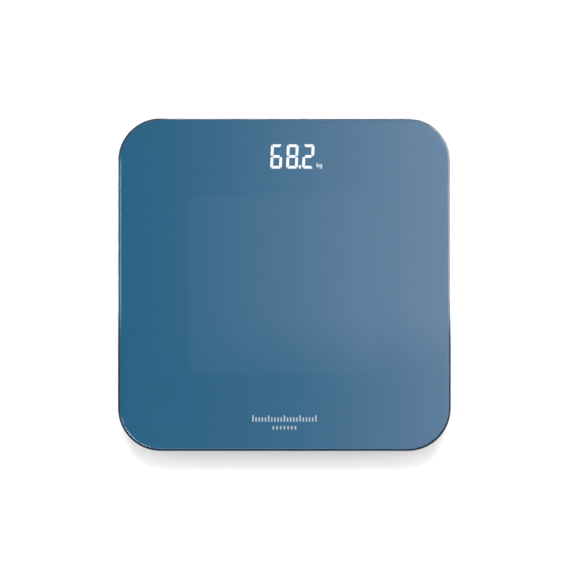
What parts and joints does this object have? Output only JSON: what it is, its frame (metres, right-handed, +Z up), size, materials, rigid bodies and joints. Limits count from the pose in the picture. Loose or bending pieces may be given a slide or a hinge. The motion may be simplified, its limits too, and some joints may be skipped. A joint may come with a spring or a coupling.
{
  "type": "digital bathroom scale",
  "caption": "Flat square glass-topped digital bathroom scale with rounded corners, a hidden LED readout, a slim moulded base and load-cell feet.",
  "frame": {"origin": "on the floor, under the centre of the square platform", "axes": "+Z up through the platform, +Y towards the edge with the readout, +X to the reader's right"},
  "size_m": [0.28, 0.28, 0.025],
  "materials": {
    "platform_glass": "clear toughened glass, ground and polished edge",
    "film_ink": "metallic teal-blue back print, satin",
    "mark_ink": "silver ink",
    "window_ink": "the same metallic print, with clear areas over the readout's segments",
    "tape": "foam bonding tape",
    "housing_plastic": "fine spark-eroded texture",
    "foot_plastic": "satin",
    "pad_rubber": "matt, lightly ribbed",
    "steel": "zinc-plated steel",
    "spring_steel": "nickel-plated",
    "cell_can": "alkaline cell with plain sleeve",
    "wire_black": "insulation",
    "wire_red": "insulation",
    "wire_white": "insulation",
    "board_green": "solder mask",
    "solder": "bright solder",
    "module_plastic": "reflector block",
    "led_lit": "lit segment",
    "led_off": "unlit segment, tinted so that it doesn't show",
    "gasket_foam": "light seal foam",
    "chip_black": "moulding compound",
    "ceramic_tan": "chip capacitors and resistors",
    "can_dark": "sleeved can",
    "button_plastic": "satin grey",
    "gauge_foil": "foil gauge on polyimide",
    "silicone": "white sealant",
    "label_film": "plain satin label, no print"
  },
  "bodies": {
    "platform": {"glass_platform": "platform_glass", "printed_film": "film_ink", "printed_mark": "mark_ink", "display_window": "window_ink", "platform_adhesive": "tape", "base_housing": "housing_plastic", "battery_cell_1": "cell_can", "battery_cell_2": "cell_can", "battery_cell_3": "cell_can", "battery_contact_plates": "spring_steel", "battery_springs": "spring_steel", "battery_lead_positive": "wire_red", "battery_lead_negative": "wire_black", "main_board": "board_green", "solder_joints": "solder", "board_screws": "steel", "display_module": "module_plastic", "display_pins": "solder", "display_segments_lit": "led_lit", "display_segments_unlit": "led_off", "display_gasket": "gasket_foam", "controller_chip": "chip_black", "converter_chip": "chip_black", "board_passives": "ceramic_tan", "filter_capacitor": "can_dark", "unit_switch": "steel", "strain_gauges": "gauge_foil", "gauge_sealant": "silicone", "load_cell_screws": "steel", "retainer_screws": "steel", "rating_label": "label_film", "load_cell_front_left": "steel", "load_cell_front_right": "steel", "load_cell_rear_left": "steel", "load_cell_rear_right": "steel", "foot_retainer_front_left": "housing_plastic", "foot_retainer_front_right": "housing_plastic", "foot_retainer_rear_left": "housing_plastic", "foot_retainer_rear_right": "housing_plastic", "gauge_lead_front_left": "wire_white", "gauge_lead_front_right": "wire_white", "gauge_lead_rear_left": "wire_white", "gauge_lead_rear_right": "wire_white"},
    "foot_front_left": {"foot_cup_front_left": "foot_plastic", "foot_pad_front_left": "pad_rubber"},
    "foot_front_right": {"foot_cup_front_right": "foot_plastic", "foot_pad_front_right": "pad_rubber"},
    "foot_rear_left": {"foot_cup_rear_left": "foot_plastic", "foot_pad_rear_left": "pad_rubber"},
    "foot_rear_right": {"foot_cup_rear_right": "foot_plastic", "foot_pad_rear_right": "pad_rubber"},
    "unit_key": {"unit_button": "button_plastic", "switch_plunger": "chip_black"},
    "door": {"battery_door": "housing_plastic"}
  },
  "joints": [
    {"name": "foot_front_left_travel", "type": "slide", "parent": "platform", "child": "foot_front_left", "axis": [0, 0, 1], "range_m": [-0.0004, 0]},
    {"name": "foot_front_right_travel", "type": "slide", "parent": "platform", "child": "foot_front_right", "axis": [0, 0, 1], "range_m": [-0.0004, 0]},
    {"name": "foot_rear_left_travel", "type": "slide", "parent": "platform", "child": "foot_rear_left", "axis": [0, 0, 1], "range_m": [-0.0004, 0]},
    {"name": "foot_rear_right_travel", "type": "slide", "parent": "platform", "child": "foot_rear_right", "axis": [0, 0, 1], "range_m": [-0.0004, 0]},
    {"name": "unit_key_press", "type": "slide", "parent": "platform", "child": "unit_key", "axis": [0, 0, 1], "range_m": [0, 0.0003], "stiffness_N_per_m": 4000},
    {"name": "battery_door_hinge", "type": "hinge", "parent": "platform", "child": "door", "pos_m": [0, 0.0192, 0.0064], "axis": [-1, 0, 0], "range_deg": [0, 95]}
  ]
}
